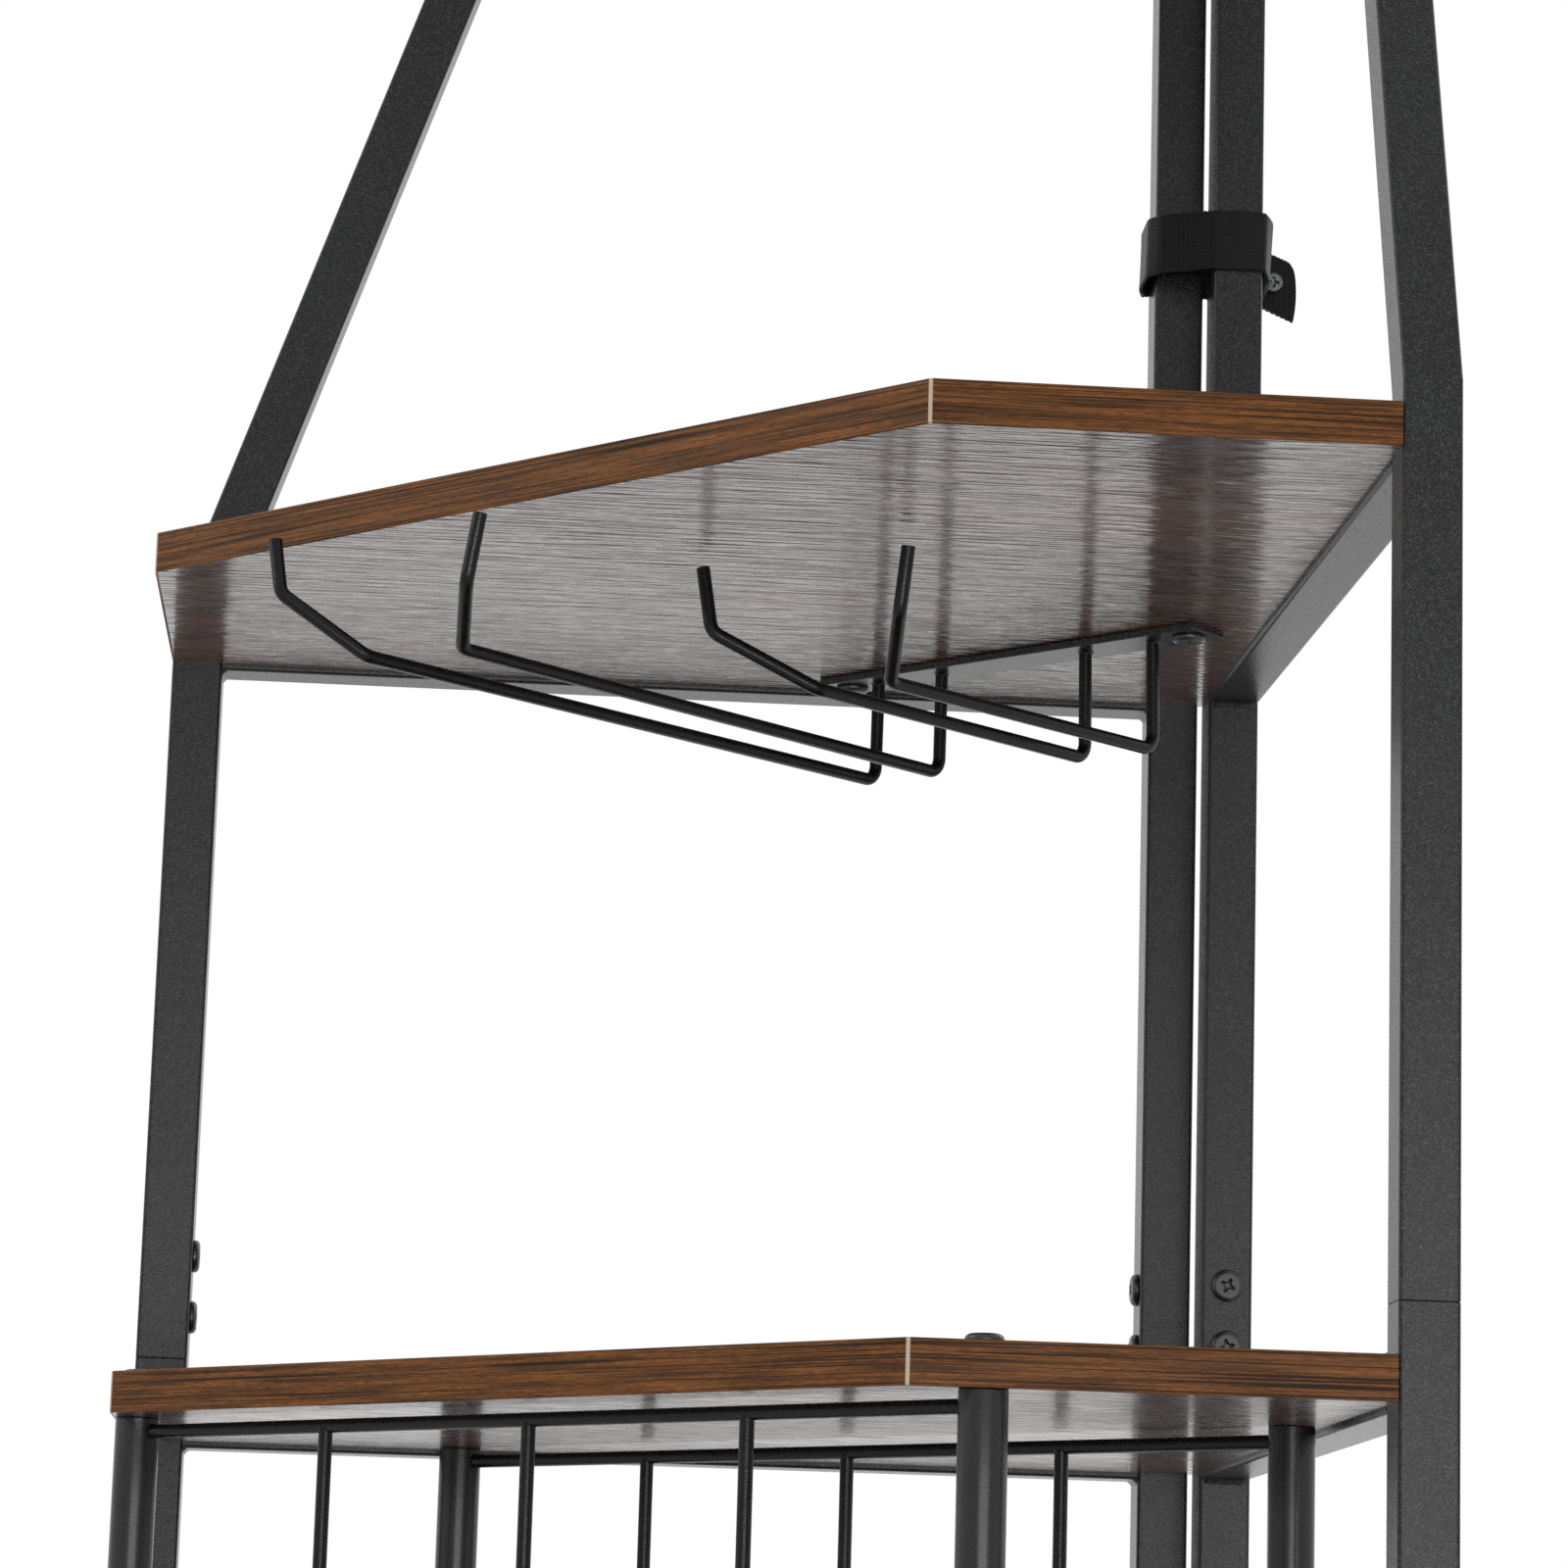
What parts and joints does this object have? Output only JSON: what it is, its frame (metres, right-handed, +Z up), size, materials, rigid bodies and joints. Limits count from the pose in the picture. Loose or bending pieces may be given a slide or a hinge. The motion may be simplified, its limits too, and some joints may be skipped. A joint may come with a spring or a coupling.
{
  "type": "corner wine rack",
  "caption": "Corner shelf rack of black square tube and wood boards, with a wire rack for lying bottles and wire lanes that hold stemmed glasses.",
  "frame": {"origin": "on the floor, under the middle of the box that holds the rack", "axes": "+Z up, -Y towards the person who faces the rack, +X to that person's right"},
  "size_m": [0.6166, 0.483, 1.5275],
  "materials": {
    "powder_coated_steel": "satin black powder coat with a fine grain",
    "laminated_board": "dark brown wood-grain laminate, half gloss",
    "edge_band": "orange-brown wood-grain edge band with dark streaks",
    "black_plastic": "moulded black polyethylene",
    "zinc_plated_steel": "zinc plated",
    "black_webbing": "black polyester webbing, herringbone weave",
    "black_fasteners": "black oxide, half gloss"
  },
  "bodies": {
    "rack": {"left_lower_outer_post": "powder_coated_steel", "left_lower_rear_post": "powder_coated_steel", "left_upper_outer_post": "powder_coated_steel", "left_upper_rear_post": "powder_coated_steel", "right_lower_outer_post": "powder_coated_steel", "right_lower_rear_post": "powder_coated_steel", "right_upper_outer_post": "powder_coated_steel", "right_upper_rear_post": "powder_coated_steel", "left_leaning_post": "powder_coated_steel", "right_leaning_post": "powder_coated_steel", "left_bottom_crossbar": "powder_coated_steel", "left_second_crossbar": "powder_coated_steel", "left_counter_crossbar": "powder_coated_steel", "left_glass_crossbar": "powder_coated_steel", "left_top_crossbar": "powder_coated_steel", "right_bottom_crossbar": "powder_coated_steel", "right_second_crossbar": "powder_coated_steel", "right_counter_crossbar": "powder_coated_steel", "right_glass_crossbar": "powder_coated_steel", "right_top_crossbar": "powder_coated_steel", "joint_sleeves": "powder_coated_steel", "post_caps": "black_plastic", "foot_inserts": "black_plastic", "bottom_board": "laminated_board", "second_board": "laminated_board", "counter_board": "laminated_board", "glass_board": "laminated_board", "top_board": "laminated_board", "bottom_edge_band": "edge_band", "second_edge_band": "edge_band", "counter_edge_band": "edge_band", "glass_edge_band": "edge_band", "top_edge_band": "edge_band", "front_left_rack_tube": "powder_coated_steel", "front_right_rack_tube": "powder_coated_steel", "rear_left_rack_tube": "powder_coated_steel", "rear_right_rack_tube": "powder_coated_steel", "front_rack_bars": "powder_coated_steel", "rear_rack_bars": "powder_coated_steel", "front_rack_uprights": "powder_coated_steel", "rear_rack_uprights": "powder_coated_steel", "front_bottle_rails": "powder_coated_steel", "rear_bottle_rails": "powder_coated_steel", "rack_tube_nuts": "zinc_plated_steel", "glass_rack_plate": "powder_coated_steel", "left_lane_wires": "powder_coated_steel", "right_lane_wires": "powder_coated_steel", "glass_rack_nuts": "zinc_plated_steel", "frame_bolts": "black_fasteners", "board_screws": "zinc_plated_steel", "bottle_rack_bolts": "black_fasteners", "glass_rack_bolts": "black_fasteners", "anti_tip_strap": "black_webbing", "wall_screw": "zinc_plated_steel"},
    "left_outer_foot_body": {"left_outer_foot": "black_plastic"},
    "left_rear_foot_body": {"left_rear_foot": "black_plastic"},
    "right_rear_foot_body": {"right_rear_foot": "black_plastic"},
    "right_outer_foot_body": {"right_outer_foot": "black_plastic"}
  },
  "joints": [
    {"name": "left_outer_foot_levelling", "type": "slide", "parent": "rack", "child": "left_outer_foot_body", "axis": [0, 0, -1], "range_m": [0, 0.012]},
    {"name": "left_rear_foot_levelling", "type": "slide", "parent": "rack", "child": "left_rear_foot_body", "axis": [0, 0, -1], "range_m": [0, 0.012]},
    {"name": "right_rear_foot_levelling", "type": "slide", "parent": "rack", "child": "right_rear_foot_body", "axis": [0, 0, -1], "range_m": [0, 0.012]},
    {"name": "right_outer_foot_levelling", "type": "slide", "parent": "rack", "child": "right_outer_foot_body", "axis": [0, 0, -1], "range_m": [0, 0.012]}
  ]
}
